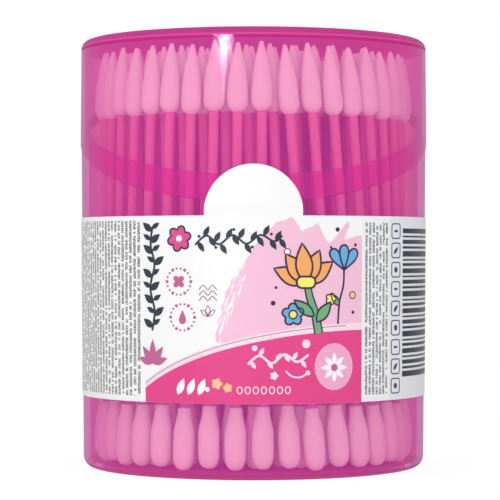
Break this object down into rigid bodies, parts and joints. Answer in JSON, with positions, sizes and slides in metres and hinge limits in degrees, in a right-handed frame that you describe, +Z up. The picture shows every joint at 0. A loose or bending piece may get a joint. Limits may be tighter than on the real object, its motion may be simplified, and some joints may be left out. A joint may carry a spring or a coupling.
{
  "type": "cotton swab tub",
  "caption": "Round translucent pink plastic tub with a slanted lift-off lid, a wrapped printed label with a sealing tab, and upright two-ended swabs of white cotton on pink paper sticks inside.",
  "frame": {"origin": "centre of the foot, on the surface that the tub stands on", "axes": "+Z up along the tub's axis, -Y towards the front, where the lid reaches lowest and the sealing tab is"},
  "size_m": [0.0644, 0.0648, 0.079],
  "materials": {
    "tinted_plastic": "clear moulded plastic with a magenta tint",
    "printed_film": "printed film, satin",
    "pink_paper": "tightly rolled pink paper, matte",
    "white_cotton": "wound cotton fibre, matte with a soft nap"
  },
  "bodies": {
    "tub": {"tub": "tinted_plastic", "label": "printed_film", "swab_sticks_ring_1": "pink_paper", "swab_sticks_ring_2": "pink_paper", "swab_sticks_ring_3": "pink_paper", "swab_sticks_ring_4": "pink_paper", "swab_sticks_ring_5": "pink_paper", "swab_sticks_ring_6": "pink_paper", "swab_sticks_ring_7": "pink_paper", "pointed_buds_ring_1": "white_cotton", "pointed_buds_ring_2": "white_cotton", "pointed_buds_ring_3": "white_cotton", "pointed_buds_ring_4": "white_cotton", "pointed_buds_ring_5": "white_cotton", "pointed_buds_ring_6": "white_cotton", "pointed_buds_ring_7": "white_cotton", "round_buds_ring_1": "white_cotton", "round_buds_ring_2": "white_cotton", "round_buds_ring_3": "white_cotton", "round_buds_ring_4": "white_cotton", "round_buds_ring_5": "white_cotton", "round_buds_ring_6": "white_cotton", "round_buds_ring_7": "white_cotton"},
    "lid": {"lid": "tinted_plastic"}
  },
  "joints": [
    {"name": "lid_lift", "type": "slide", "parent": "tub", "child": "lid", "axis": [0, 0, 1], "range_m": [0, 0.04]}
  ]
}
